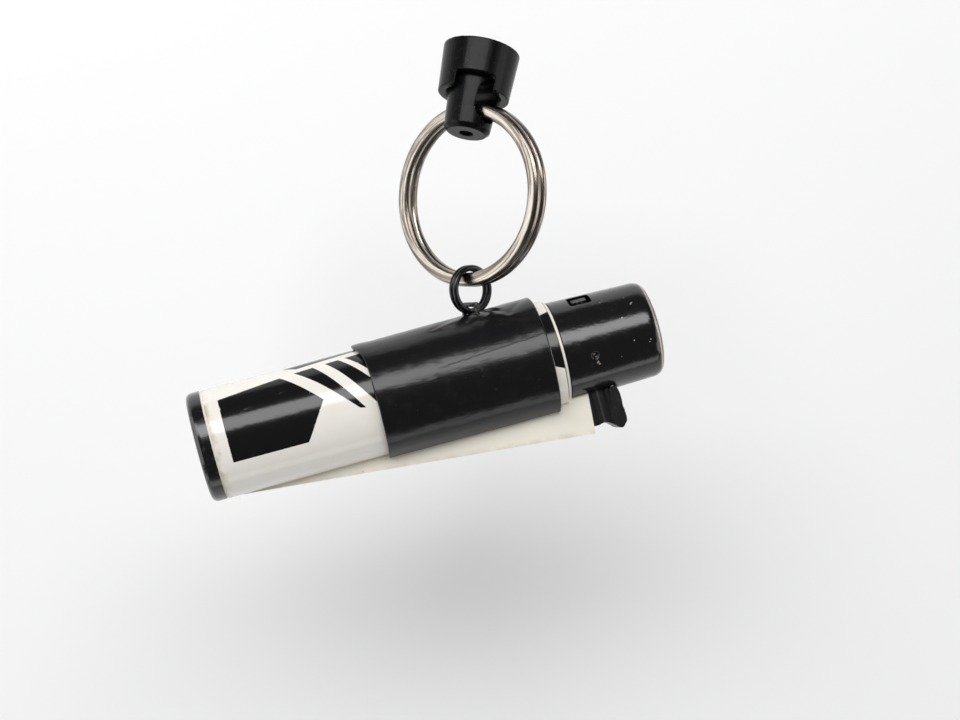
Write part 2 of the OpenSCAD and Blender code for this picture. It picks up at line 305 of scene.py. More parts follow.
film = Finish("Printed film")
s, w = film.around()
PRINT = (
    ((4.8, 42), (14.8, 33), (20.4, 74), (16.6, 113), (4.8, 113)),
    ((17.0, 31), (30, 24), (30, 99), (25.4, 92)),
    ((15.4, 13), (30, 1), (30, 13), (17.6, 23)),
    ((56.05, 43), (57.6, 40), (57.6, 108), (56.05, 103)),
    ((8, -150), (20, -130), (34, -80), (22, -40), (8, -70)),
)
STRIPES = (((19.4, 22), (21.4, 22), (29.4, 104), (27.4, 104)),
           ((23.6, 22), (24.7, 22), (30.6, 76), (29.5, 76)))


def together(how, patches):
    made = None
    for corners in patches:
        part = printed(film, s, w, corners)
        made = part if made is None else film.math(how, made, part)
    return made


ink = together("MAXIMUM", PRINT)
ink = film.math("MINIMUM", ink, film.times(together("MAXIMUM", STRIPES), -1.0))
nibble = film.noise(3.2, 5, 0.75)
torn = film.soft(film.noise(0.45, 2), 0.5, 0.62)
nibbled = film.times(film.soft(nibble, 0.56, 0.74, 0.0, -0.4), torn)
ink = film.soft(film.plus(ink, nibbled), 0.0, 0.05)
scuff = film.soft(film.noise(0.55, 6, 0.72, film.stretched(0.6, 1.6, 1.6)), 0.6, 0.74)
paper = film.mix(film.noise(0.35, 3), (0.88, 0.855, 0.805), (0.82, 0.785, 0.715))
edge = film.plus(s, film.times(film.noise(0.5, 5, 0.7), -1.6))
dirt = film.times(film.soft(edge, 2.9, 1.7),
                  film.soft(film.noise(0.35, 4, 0.7), 0.4, 0.62))
paper = film.mix(film.times(dirt, 0.75), paper, (0.45, 0.32, 0.19))
seam = film.math("ABSOLUTE", film.split()[1])
seam = film.minus(seam, film.times(s, 0.046))
below = film.soft(film.split()[2], -6.5, -7.6)
yellowed = film.times(film.soft(seam, 1.0, 0.25), below)
paper = film.mix(yellowed, paper, (0.62, 0.5, 0.28))
speck = film.soft(film.cells(0.55), 0.06, 0.03)
paper = film.mix(film.times(speck, 0.6), paper, (0.32, 0.22, 0.12))
black = film.mix(scuff, (0.0045, 0.0045, 0.005), (0.022, 0.021, 0.023))
film.set(Base_Color=film.mix(ink, paper, black),
         Roughness=film.soft(scuff, 0.0, 1.0, 0.15, 0.36))
film.shader.inputs["Specular IOR Level"].default_value = 0.4
film.shader.inputs["Coat Weight"].default_value = 0.12
film.shader.inputs["Coat Roughness"].default_value = 0.12
film.bump(film.plus(film.noise(0.5, 3), film.times(ink, 0.06)), 0.05, 0.7)
finish_of["print_film"] = film.material
print("printed film with", len(PRINT) + len(STRIPES), "patches")

# %% [markdown]
# ## Aged nylon
#
# The rib and the tube are natural nylon that has yellowed. Warm light passes a
# little way into it, so it has some subsurface scattering; pin-sized brown
# specks come from handling, and grime with painted shade darkens the lower edge.
# Towards its far end the nylon is darker. Painted shade darkens the gap where
# the tube meets the hood, and the tube inside the hood.

# %% The rib and tube
nylon = Finish("Aged natural nylon")
tone = nylon.mix(nylon.noise(0.25, 4, 0.6), (0.88, 0.85, 0.765), (0.82, 0.77, 0.665))
dots = nylon.soft(nylon.cells(0.28), 0.07, 0.035)
spots = nylon.times(dots, nylon.soft(nylon.noise(0.15, 2), 0.46, 0.56))
tone = nylon.mix(nylon.times(spots, 0.8), tone, (0.28, 0.19, 0.1))
# brownish grime and painted shade darken the rib's lower edge
depth = nylon.plus(nylon.times(nylon.split()[0], 0.084), nylon.split()[2])
grime_and_shade = nylon.times(nylon.soft(nylon.noise(0.4, 4, 0.6), 0.35, 0.65),
                    nylon.soft(depth, -7.6, -8.9))
tone = nylon.mix(nylon.times(grime_and_shade, 0.55), tone, (0.5, 0.42, 0.3))
# the nylon is darker towards its far end, past 61 mm
far_end_darkening = nylon.plus(nylon.split()[0], nylon.noise(2.0, 4, 0.7))
far_end_darkening = nylon.soft(far_end_darkening, 61.0, 61.6)
tone = nylon.mix(nylon.times(far_end_darkening, 0.35), tone, (0.3, 0.25, 0.18))
along = nylon.split()[0]
# painted shade: near-black in the gap where the tube meets the hood, and on the tube inside the
# hood
SHADED_GAP_AT = 57.58
gap_shade = nylon.math("ABSOLUTE", nylon.minus(along, SHADED_GAP_AT))
gap_shade = nylon.math("MAXIMUM", nylon.soft(gap_shade, 0.16, 0.08),
                    nylon.soft(along, 58.05, 58.12))
gap_shade = nylon.times(gap_shade, nylon.soft(nylon.split()[2], -7.9, -7.2))
tone = nylon.mix(gap_shade, tone, (0.012, 0.01, 0.009))
nylon.set(Base_Color=tone, Roughness=nylon.soft(nylon.noise(1.2, 4), 0.3, 0.7, 0.34, 0.5))
nylon.shader.inputs["Subsurface Weight"].default_value = 0.12
nylon.shader.inputs["Subsurface Scale"].default_value = 0.0008
nylon.shader.inputs["Subsurface Radius"].default_value = (1.0, 0.7, 0.4)
nylon.bump(nylon.noise(2.5, 4, 0.6), 0.02)
finish_of["tank_shell"] = nylon.material
print("nylon ready")

# %% [markdown]
# ## Black plastics of the ends
#
# The base plug is polished black, rubbed to a haze on its rim. The button is
# the same plastic left matt, with the grey bloom that thumbs leave. The flame
# adjuster's tab has two ribs across it, painted paler on their tops as a
# painted highlight.

# %% Base plug and button finishes


def black_plastic(name, rough, haze, haze_rough, local=LIGHTER, grain=1.4,
                  coat=0.0, depth=0.012, gleam=0.5):
    f = Finish(name, local)
    rub = f.soft(f.noise(grain, 6, 0.7), 0.5, 0.72)
    fleck = f.soft(f.cells(grain * 1.1), 0.07, 0.03)
    tint = f.mix(rub, (0.0035, 0.0035, 0.004), haze)
    tint = f.mix(f.times(fleck, 0.35), tint, (0.3, 0.29, 0.27))
    f.set(Base_Color=tint, Roughness=f.soft(rub, 0.0, 1.0, rough, haze_rough))
    f.shader.inputs["Coat Weight"].default_value = coat
    f.shader.inputs["Specular IOR Level"].default_value = gleam
    f.bump(f.noise(grain * 7, 4, 0.65), depth)
    return f.material


finish_of["base_plug"] = black_plastic("Polished black plug", 0.16,
                                       (0.02, 0.02, 0.022), 0.32, coat=0.3)
button_black = black_plastic("Matt black button", 0.3, (0.018, 0.018, 0.019), 0.46,
                             grain=1.0, depth=0.03, gleam=0.4)
swivel_black = black_plastic("Satin swivel nylon", 0.24, (0.006, 0.007, 0.0075), 0.36,
                             SWIVEL, grain=0.9, depth=0.009, gleam=0.13)
tab = Finish("Ribbed adjuster nylon")
along = tab.split()[0]
TAB_RIBS = (62.8, 63.55)
ribs_and_highlight = None
for at in TAB_RIBS:
    line = tab.soft(tab.math("ABSOLUTE", tab.minus(along, at)), 0.16, 0.08)
    ribs_and_highlight = line if ribs_and_highlight is None else tab.math("MAXIMUM", ribs_and_highlight, line)
ribs_and_highlight = tab.times(ribs_and_highlight, tab.soft(along, 61.0, 61.5))
# the rib tops are painted paler: a painted highlight; the bump gives the ribs their shape
tab.set(Base_Color=tab.mix(ribs_and_highlight, (0.005, 0.005, 0.0055), (0.05, 0.05, 0.051)),
        Roughness=tab.soft(tab.noise(1.5, 4), 0.3, 0.7, 0.3, 0.45))
tab.bump(ribs_and_highlight, 0.12)
finish_of["flame_adjuster"] = tab.material
print("black plastics ready")

# %% [markdown]
# ## Rubber of the sleeve
#
# A piece of inner tube pulled over the lighter. It is satin, not matt: the
# stretch polishes it, and fine grain breaks the highlight up. A hair crack
# runs along it below the highlight, painted darker as shade inside it. The
# lower edge is painted a little lighter, a painted reflection from below.

# %% Sleeve rubber
rubber = Finish("Stretched rubber")
s, w = rubber.around()
grain = rubber.noise(2.2, 6, 0.7)
dusty = rubber.soft(rubber.noise(0.5, 6, 0.7), 0.5, 0.8)
tint = rubber.mix(dusty, (0.005, 0.005, 0.0058), (0.011, 0.011, 0.012))
CRACK_FROM, CRACK_TO = (38.0, 11.4), (55.6, 10.4)
rise = (CRACK_TO[1] - CRACK_FROM[1]) / (CRACK_TO[0] - CRACK_FROM[0])
line = rubber.minus(w, rubber.times(s, rise))
line = rubber.minus(line, CRACK_FROM[1] - rise * CRACK_FROM[0])
wander = rubber.times(rubber.minus(rubber.noise(1.1, 5, 0.8), 0.5), 0.7)
line = rubber.plus(line, wander)
crack_and_shade = rubber.soft(rubber.math("ABSOLUTE", line), 0.1, 0.04)
crack_and_shade = rubber.times(crack_and_shade, rubber.soft(s, CRACK_FROM[0], CRACK_FROM[0] + 4))
# painted reflection: the lower edge of the sleeve is painted a little lighter
low = rubber.soft(rubber.plus(w, rubber.times(rubber.noise(0.8, 3), 1.4)), 21.5, 23.5)
tint = rubber.mix(rubber.times(low, 0.5), tint, (0.018, 0.018, 0.019))
# painted shade: the crack is painted darker inside
tint = rubber.mix(crack_and_shade, tint, (0.002, 0.002, 0.002))
fleck = rubber.soft(rubber.cells(0.9), 0.06, 0.03)
tint = rubber.mix(rubber.times(fleck, 0.3), tint, (0.25, 0.24, 0.22))
rubber.set(Base_Color=tint, Roughness=rubber.soft(dusty, 0.0, 1.0, 0.21, 0.29))
rubber.shader.inputs["Specular IOR Level"].default_value = 0.4
wrinkle = rubber.noise(0.55, 4, 0.6, rubber.stretched(0.3, 1.3, 1.3))
height = rubber.plus(rubber.times(grain, 0.06), wrinkle)
rubber.bump(rubber.minus(height, rubber.times(crack_and_shade, 2.2)), 0.05)
print("rubber ready")

# %% [markdown]
# ## Paint of the hood
#
# The hood is thin steel under gloss black. Years in a pocket have worn a thin
# line along the rim and knocked small chips out of the side. A chip is a spot
# at a known place whose outline is bent by noise; inside it the gloss gives way
# to a brownish primer with a dull metal shine. One such spot, at the bottom of
# a dimple, is a painted highlight. Soot dulls the inside.

# %% Hood paint with chips and a painted highlight
paint = Finish("Chipped gloss black")
s, w = paint.around()
ragged = paint.times(paint.minus(paint.noise(3.4, 5, 0.8), 0.5), 1.3)
spot = paint.join(s, w, 0.0)
# each chip, and the dimple's painted highlight at (62.72, 15.5):
# along and round the hood, and its radius, in mm
CHIPS_AND_GLINT = ((62.95, 17.0, 0.2), (63.15, 17.4, 0.16), (62.72, 15.5, 0.12), (70.5, 8.3, 0.14),
         (70.75, 8.1, 0.1), (69.3, 14.9, 0.1), (68.4, 10.6, 0.12), (71.7, 15.9, 0.08),
         (71.9, 15.5, 0.1), (66.0, 6.3, 0.11), (66.4, 6.0, 0.08), (66.8, 17.2, 0.08),
         (69.9, 6.5, 0.09), (72.7, 3.0, 0.22), (72.5, 12.0, 0.1), (69.8, -12.0, 0.3),
         (65.0, -18.0, 0.2))
chip_and_glint = None
for along, round_to, size in CHIPS_AND_GLINT:
    away = paint.vector("DISTANCE", spot, (along, round_to, 0.0))
    away = paint.minus(away, size)
    chip_and_glint = away if chip_and_glint is None else paint.math("MINIMUM", chip_and_glint, away)
chip_and_glint = paint.soft(paint.plus(chip_and_glint, paint.times(ragged, 0.4)), 0.03, -0.03)
y, z = paint.split()[1:3]
radius = paint.math("SQRT", paint.plus(paint.times(y, y), paint.times(z, z)))
fray = paint.plus(s, paint.times(ragged, 0.3))
worn_rim = paint.times(paint.soft(fray, 73.2, 73.3), paint.soft(fray, 73.62, 73.5))
# bare metal of the chips and the worn rim, with the dimple's painted highlight
bare_and_glint = paint.math("MAXIMUM", chip_and_glint, worn_rim)
soot = paint.soft(radius, 6.2, 5.4)
haze = paint.soft(paint.noise(0.7, 6, 0.75), 0.52, 0.8)
gloss = paint.mix(haze, (0.004, 0.004, 0.0045), (0.012, 0.012, 0.0125))
primer = paint.mix(paint.noise(3.0, 3), (0.62, 0.56, 0.47), (0.3, 0.26, 0.22))
tint = paint.mix(bare_and_glint, gloss, primer)
tint = paint.mix(paint.times(soot, 0.8), tint, (0.012, 0.011, 0.01))
paint.set(Base_Color=tint,
          Roughness=paint.mix(bare_and_glint, paint.mix(haze, (0.17,) * 3, (0.34,) * 3),
                              (0.42,) * 3),
          Metallic=paint.times(bare_and_glint, 0.75))
paint.shader.inputs["Coat Weight"].default_value = 0.2
paint.shader.inputs["Coat Roughness"].default_value = 0.1
dents = paint.times(paint.noise(0.8, 4, 0.6), 0.8)
paint.bump(paint.minus(dents, paint.times(bare_and_glint, 0.35)), 0.06)
print("hood paint with", len(CHIPS_AND_GLINT), "chips")

# %% [markdown]
# ## Ring metals
#
# Both split rings are spring steel. The large one is nickel plated: warm,
# bright, with brown tarnish drawn out along the wire. The noise is sampled
# slowly round the ring and quickly across the wire, by the distance from its
# axis, so the streaks follow the coil and close on themselves without a seam.
# The small ring and the eyelet are blackened, and use the same recipe.

# %% Ring finishes


def ring_metal(name, local, slow, bright, tarnish, rough, amount):
    f = Finish(name, local)
    x, y, z = f.split()
    out = f.math("SQRT", f.plus(f.times(x, x), f.times(y, y)))

    def drawn_out(along, across):
        shift = f.times(out, across)
        return f.join(f.plus(f.times(x, along), shift), f.times(y, along),
                      f.times(z, across))

    streak = f.noise(1.0, 6, 0.65, drawn_out(slow, 2.2))
    fine = f.noise(1.0, 4, 0.7, drawn_out(slow * 3, 9.0))
    brown = f.soft(streak, 0.4, 0.6, 0.0, amount)
    f.set(Base_Color=f.mix(brown, bright, tarnish),
          Roughness=f.soft(fine, 0.3, 0.7, rough, rough + 0.16))
    f.shader.inputs["Metallic"].default_value = 1.0
    f.bump(fine, 0.02)
    return f.material


nickel = ring_metal("Nickel-plated spring steel", RING, 0.12, (0.44, 0.405, 0.36),
                    (0.09, 0.065, 0.048), 0.13, 0.85)
blackened = ring_metal("Blackened spring steel", LINK, 0.3, (0.045, 0.045, 0.048),
                       (0.02, 0.02, 0.021), 0.2, 0.8)
finish_of["eyelet"] = ring_metal("Worn eyelet wire", LINK, 0.4, (0.035, 0.035, 0.037),
                                 (0.2, 0.19, 0.18), 0.24, 0.6)
spring_wire = plain("Spring wire", (0.55, 0.55, 0.56), 0.25, 1.0, grain=1.0)
print("ring metals ready")

# %% [markdown]
# ## Split rings grown along a path
#
# A split ring is one flat strip wound twice. The path is a rule, so Geometry
# Nodes can draw it: a line of points, each set at its angle, that steps from
# the upper turn to the lower one over a short crossing. A rounded strip
# section is swept along it. The same tree makes both rings.

# %% Split ring tree


class Tree:
    """Builds a Geometry Nodes tree with named inputs and evaluates it once."""

    def __init__(self, name, inputs):
        self.group = bpy.data.node_groups.new(name, "GeometryNodeTree")
        face = self.group.interface
        self.ids = {}
        for label, kind in inputs:
            item = face.new_socket(label, in_out="INPUT", socket_type="NodeSocket" + kind)
            self.ids[label] = item.identifier
        face.new_socket("Mesh", in_out="OUTPUT", socket_type="NodeSocketGeometry")
        self.given = self.add("NodeGroupInput").outputs
        self.result = self.add("NodeGroupOutput").inputs[0]

    def add(self, kind, **settings):
        node = self.group.nodes.new(kind)
        for key, value in settings.items():
            setattr(node, key, value)
        return node

    def feed(self, node, **values):
        for key, value in values.items():
            socket = node.inputs[key.replace("_", " ")]
            if isinstance(value, bpy.types.NodeSocket):
                self.group.links.new(value, socket)
            else:
                socket.default_value = value
        return node

    def math(self, how, *values):
        node = self.add("ShaderNodeMath", operation=how)
        for value, socket in zip(values, node.inputs):
            if isinstance(value, bpy.types.NodeSocket):
                self.group.links.new(value, socket)
            else:
                socket.default_value = value
        return node.outputs[0]

    def finish(self, curve, profile):
        sweep = self.feed(self.add("GeometryNodeCurveToMesh"), Curve=curve,
                          Profile_Curve=profile, Fill_Caps=True)
        smooth = self.feed(self.add("GeometryNodeSetShadeSmooth"), Geometry=sweep.outputs[0])
        real = self.feed(self.add("GeometryNodeRealizeInstances"), Geometry=smooth.outputs[0])
        dress = self.feed(self.add("GeometryNodeSetMaterial"), Geometry=real.outputs[0],
                          Material=self.given["Finish"])
        self.group.links.new(dress.outputs[0], self.result)

    def grow(self, name, place, **values):
        """Evaluates the tree with these inputs and returns a plain mesh object."""
        seed = bpy.data.objects.new(name + "_seed", bpy.data.meshes.new(name + "_seed"))
        bpy.context.scene.collection.objects.link(seed)
        modifier = seed.modifiers.new("grow", "NODES")
        modifier.node_group = self.group
        for label, value in values.items():
            modifier[self.ids[label.replace("_", " ")]] = value
        bpy.context.view_layer.update()
        ready = seed.evaluated_get(bpy.context.evaluated_depsgraph_get())
        mesh = bpy.data.meshes.new_from_object(ready)
        bpy.data.objects.remove(seed)
        mesh.transform(place)
        return new_piece(name, mesh)


def new_piece(name, mesh, material=None):
    mesh.name = name
    piece = bpy.data.objects.new(name, mesh)
    bpy.context.scene.collection.objects.link(piece)
    if material:
        mesh.materials.clear()
        mesh.materials.append(material)
    return piece


ring_tree = Tree("Split ring", (
    ("Mean radius", "Float"), ("Strip width", "Float"), ("Strip thickness", "Float"),
    ("Corner", "Float"), ("Start", "Float"), ("Crossing", "Float"), ("Gap", "Float"),
    ("Points", "Int"), ("Finish", "Material")))
t, g = ring_tree, ring_tree.given
line = t.feed(t.add("GeometryNodeCurvePrimitiveLine"), End=(1, 0, 0))
line = t.feed(t.add("GeometryNodeResampleCurve"), Curve=line.outputs[0], Count=g["Points"])
along = t.add("GeometryNodeSplineParameter").outputs["Factor"]
end_turn = t.math("SUBTRACT", t.math("ADD", g["Start"], 2 * math.pi), g["Gap"])
sweep_by = t.math("SUBTRACT", t.math("SUBTRACT", 4 * math.pi, g["Crossing"]),
                  t.math("MULTIPLY", g["Gap"], 2.0))
turn = t.math("SUBTRACT", end_turn, t.math("MULTIPLY", along, sweep_by))
step = t.add("ShaderNodeMapRange", interpolation_type="SMOOTHSTEP")
t.feed(step, Value=t.math("SUBTRACT", turn, g["Start"]), From_Max=g["Crossing"],
       To_Min=-0.5, To_Max=0.5)
lift = t.math("MULTIPLY", step.outputs["Result"], g["Strip thickness"])
spot = t.add("ShaderNodeCombineXYZ")
t.feed(spot, X=t.math("MULTIPLY", t.math("COSINE", turn), g["Mean radius"]),
       Y=t.math("MULTIPLY", t.math("SINE", turn), g["Mean radius"]), Z=lift)
path = t.feed(t.add("GeometryNodeSetPosition"), Geometry=line.outputs[0],
              Position=spot.outputs[0])
path = t.feed(t.add("GeometryNodeSetCurveNormal", mode="Z_UP"), Curve=path.outputs[0])
strip = t.add("GeometryNodeFilletCurve")
quad = t.feed(t.add("GeometryNodeCurvePrimitiveQuadrilateral"), Width=g["Strip width"],
              Height=g["Strip thickness"])
t.feed(strip, Curve=quad.outputs[0], Radius=g["Corner"])
strip.mode = "POLY"
strip.inputs["Count"].default_value = 6
t.finish(path.outputs[0], strip.outputs[0])

RING_W, RING_T, RING_OD = 2.2, 2.94, 29.0
LINK_W, LINK_T, LINK_OD = 0.95, 1.75, 7.8
COIL_GAP = 0.02
key_ring = ring_tree.grow("key_ring_coils", RING, Mean_radius=(RING_OD - RING_W) / 2,
                          Strip_width=RING_W, Strip_thickness=RING_T / 2 - COIL_GAP, Corner=0.7,
                          Start=math.radians(84), Crossing=math.radians(9),
                          Gap=math.radians(3), Points=420, Finish=nickel)
link_ring = ring_tree.grow("link_ring_coils", LINK, Mean_radius=(LINK_OD - LINK_W) / 2,
                           Strip_width=LINK_W, Strip_thickness=LINK_T / 2 - COIL_GAP,
                           Corner=0.41,
                           Start=math.radians(262), Crossing=math.radians(16),
                           Gap=math.radians(7), Points=260, Finish=blackened)
for ring, node, body, slot in ((key_ring, "key_ring", "large_ring", "ring_steel"),
                               (link_ring, "link_ring", "small_ring", "black_steel")):
    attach(ring, body)
    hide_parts(node)
    print(ring.name, len(ring.data.polygons), "faces",
          [round(v, 4) for v in ring.dimensions])

# %% [markdown]
# ## Springs
#
# Four coil springs work inside the lighter. Each is a round wire on a helix,
# so one small tree with the Spiral curve makes all four. A spring rides the
# part that pushes it.

# %% Spring tree
spring_tree = Tree("Coil spring", (("Coil radius", "Float"), ("Wire", "Float"),
                                   ("Height", "Float"), ("Turns", "Float"),
                                   ("Finish", "Material")))
t, g = spring_tree, spring_tree.given
helix = t.feed(t.add("GeometryNodeCurveSpiral"), Resolution=24, Rotations=g["Turns"],
               Start_Radius=g["Coil radius"], End_Radius=g["Coil radius"], Height=g["Height"])
wire = t.feed(t.add("GeometryNodeCurvePrimitiveCircle"), Resolution=10,
              Radius=t.math("MULTIPLY", g["Wire"], 0.5))
t.finish(helix.outputs[0], wire.outputs[0])

VALVE_Z, PIEZO_Z = 0.8, -6.05
# each spring: start, end, coil radius, wire, turns, height of its axis, the body
# it rides, which end is on that body (0 or 1), the joint and the squeeze in mm
SPRINGS = {
    "refill_spring": (5.65, 8.95, 0.75, 0.22, 6.0, 0.0, "refill", 0, "refill_press", 0.9),
    "valve_spring": (58.45, 60.4, 1.3, 0.22, 3.0, VALVE_Z, "gas_stem", 0, "valve_lift", 0.7),
    "hammer_spring": (46.85, 50.4, 0.9, 0.28, 3.5, PIEZO_Z, "button", 1, "button_press", 2.2),
    "return_spring": (54.05, 58.35, 1.36, 0.3, 4.0, PIEZO_Z, "button", 1, "button_press", 2.6),
}
for node, (x0, x1, radius, wire_d, turns, z, body, held, joint, squeeze) in SPRINGS.items():
    along_x = Matrix.Translation((x0 + wire_d / 2, 0, z)) @ Matrix.Rotation(math.pi / 2, 4, "Y")
    coil = spring_tree.grow(node + "_helix", LIGHTER @ along_x, Coil_radius=radius, Wire=wire_d,
                            Height=x1 - x0 - wire_d, Turns=turns, Finish=spring_wire)
    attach(coil, body)
    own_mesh(coil)
    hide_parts(node)
    print(coil.name, len(coil.data.polygons), "faces")

# %% [markdown]
# ## Softening moulded edges
#
# A moulded part has no knife edges. A voxel remesh of the measured solid,
# followed by a few smoothing passes, rounds every corner alike at the scale
# of a tenth of a millimetre, and suits shapes with holes and slots that an
# edge bevel would break. It is done in millimetres, where voxels are not tiny.

# %% Rounded copies of the moulded parts


def baked(shape, *tools):
    """The object's mesh with its modifiers applied; the objects are removed."""
    bpy.context.view_layer.update()
    ready = shape.evaluated_get(bpy.context.evaluated_depsgraph_get())
    result = bpy.data.meshes.new_from_object(ready)
    for thing in (shape, *tools):
        bpy.data.objects.remove(thing)
    return result


def softened(node, name, voxel, passes, material, body):
    mesh = frame["nodes"][node].data.copy()
    mesh.transform(Matrix.Scale(1 / MM, 4))
    work = bmesh.new()
    work.from_mesh(mesh)
    bmesh.ops.remove_doubles(work, verts=work.verts, dist=0.002)
    work.to_mesh(mesh)
    work.free()
    if "custom_normal" in mesh.attributes:
        mesh.attributes.remove(mesh.attributes["custom_normal"])
    shape = bpy.data.objects.new(name + "_work", mesh)
    bpy.context.scene.collection.objects.link(shape)
    remesh = shape.modifiers.new("voxels", "REMESH")
    remesh.mode, remesh.voxel_size, remesh.use_smooth_shade = "VOXEL", voxel, True
    relax = shape.modifiers.new("relax", "SMOOTH")
    relax.factor, relax.iterations = 0.5, passes
    soft_mesh = baked(shape)
    soft_mesh.transform(Matrix.Scale(MM, 4))
    piece = new_piece(name, soft_mesh, material)
    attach(piece, body)
    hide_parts(node)
    print(name, len(soft_mesh.polygons), "faces")


softened("swivel_collar", "swivel_collar_moulded", 0.11, 5, swivel_black,
         "collar")
softened("swivel_post", "swivel_post_moulded", 0.1, 5, swivel_black,
         "post")
softened("push_button", "push_button_moulded", 0.075, 6, button_black,
         "button")

# %% [markdown]
# ## The sleeve
#
# The sleeve is rubber, so its surface is modelled as one: a grid along and
# round the tube, swollen a little at the ends, with creases where the eyelet
# pulls and an uneven cut at the base end. Solidify gives it a wall, a bevel
# rounds its lips, and a cut lets the small ring through.

# %% Sleeve surface
SLEEVE_FROM, SLEEVE_TO = 28.0, 56.0
OUT_R0, OUT_R1, SLEEVE_WALL = 9.35, 9.68, 0.62
RIB_SLOPE, RIB_AT, RIB_HALF, SLIT_GAP = 2.65 / 58.9, 3.0, 0.45, 0.34
LINK_SLOT_R, LINK_SLOT_W = 4.3, 2.1
# each crease: along, round (degrees) of its two ends, depth and width in mm
CREASES = (((48.2, 8), (51.8, 34), 0.16, 0.55), ((51.8, 34), (54.6, 12), 0.12, 0.5),
           ((48.8, 16), (46.6, 40), 0.1, 0.6), ((43.8, 10), (39.5, 26), 0.1, 0.7),
           ((44.5, -8), (40.5, -26), 0.12, 0.7), ((49.0, -10), (53.0, -30), 0.12, 0.6))


def crease_depth(s, angle):
    p, total = Vector((s, math.radians(angle) * OUT_R0)), 0.0
    for (s0, a0), (s1, a1), depth, width in CREASES:
        a = Vector((s0, math.radians(a0) * OUT_R0))
        b = Vector((s1, math.radians(a1) * OUT_R0))
        share = max(0.0, min(1.0, (p - a).dot(b - a) / (b - a).length_squared))
        away = (p - a.lerp(b, share)).length
        fade = 0.4 + 0.6 * math.sin(math.pi * min(1, share + 0.15))
        total += depth * math.exp(-(away / width) ** 2) * fade
    return total


def sleeve_radius(s, angle):
    r = OUT_R0 + (OUT_R1 - OUT_R0) * (s - SLEEVE_FROM) / (SLEEVE_TO - SLEEVE_FROM)
    r += 0.05 * noise.noise(Vector((s * 0.22, angle * 0.035, 1.7)))
    r += 0.03 * noise.noise(Vector((s * 0.7, angle * 0.06, 5.2)))
    top = math.exp(-((angle - 20) / 50) ** 2)
    r += 0.16 * top * math.exp(-((s - SLEEVE_FROM) / 1.3) ** 2)
    r += 0.06 * math.exp(-((s - SLEEVE_TO) / 0.9) ** 2)
    return r - crease_depth(s, angle)


def sleeve_start(angle):
    cut = 0.16 * noise.noise(Vector((angle * 0.05, 3.3, 0.4)))
    ragged = 0.0
    if angle > 140:
        ragged = 0.3 * max(0.0, noise.noise(Vector((angle * 0.45, 8.1, 0.2))))
    pulled = 1.3 * math.exp(-((angle - 8) / 26) ** 2)
    return SLEEVE_FROM + 0.12 + cut * 0.7 + ragged - pulled


def sleeve_finish(angle):
    return SLEEVE_TO - 0.1 + 0.08 * noise.noise(Vector((angle * 0.04, 1.3, 7.4)))


rows, columns = 96, 216
work = bmesh.new()
grid = []
for i in range(rows + 1):
    share = i / rows
    ring_row = []
    for j in range(columns + 1):
        side = 2 * j / columns - 1
        s_mid = SLEEVE_FROM + (SLEEVE_TO - SLEEVE_FROM) * share
        half = RIB_HALF + RIB_SLOPE * (s_mid - RIB_AT) + SLIT_GAP
        limit = 180 - math.degrees(math.asin(half / OUT_R0))
        angle = side * limit
        s = sleeve_start(angle) * (1 - share) + sleeve_finish(angle) * share
        r, a = sleeve_radius(s, angle), math.radians(angle)
        ring_row.append(work.verts.new((s, -r * math.sin(a), r * math.cos(a))))
    grid.append(ring_row)
for i in range(rows):
    for j in range(columns):
        work.faces.new((grid[i][j], grid[i + 1][j], grid[i + 1][j + 1], grid[i][j + 1]))
bmesh.ops.recalc_face_normals(work, faces=work.faces)
middle = grid[rows // 2][columns // 2]
middle.normal_update()
if middle.normal.z < 0:
    bmesh.ops.reverse_faces(work, faces=work.faces)
mesh = bpy.data.meshes.new("sleeve_skin")
work.to_mesh(mesh)
work.free()
shape = bpy.data.objects.new("sleeve_work", mesh)
bpy.context.scene.collection.objects.link(shape)
wall = shape.modifiers.new("wall", "SOLIDIFY")
wall.thickness, wall.offset, wall.use_even_offset = SLEEVE_WALL, -1.0, False
lip = shape.modifiers.new("lip", "BEVEL")
lip.width, lip.segments = 0.17, 3
lip.limit_method, lip.angle_limit = "ANGLE", math.radians(50)

ring_slot = bpy.data.meshes.new("ring_slot")
work = bmesh.new()
bmesh.ops.create_cone(work, cap_ends=True, segments=96, radius1=LINK_SLOT_R,
                      radius2=LINK_SLOT_R, depth=LINK_SLOT_W)
work.to_mesh(ring_slot)
work.free()
ring_slot.transform(LIGHTER.inverted() @ LINK)
cutter = bpy.data.objects.new("ring_slot", ring_slot)
bpy.context.scene.collection.objects.link(cutter)
cut = shape.modifiers.new("slot", "BOOLEAN")
cut.operation, cut.object, cut.solver = "DIFFERENCE", cutter, "EXACT"
mesh = baked(shape, cutter)
mesh.transform(LIGHTER)
mesh.shade_smooth()
mesh.set_sharp_from_angle(angle=math.radians(50))
sleeve = new_piece("sleeve_rubber_tube", mesh, rubber.material)
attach(sleeve, "lighter")
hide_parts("sleeve")
print("sleeve", len(mesh.polygons), "faces")

# %% [markdown]
# ## The hood
#
# The hood is pressed from sheet and rolled in at the mouth. Its section is a
# closed outline, turned round the tube's axis with rows set close together
# near the two punched dimples so that they come out round. The window and the
# notch for the button are cut afterwards.

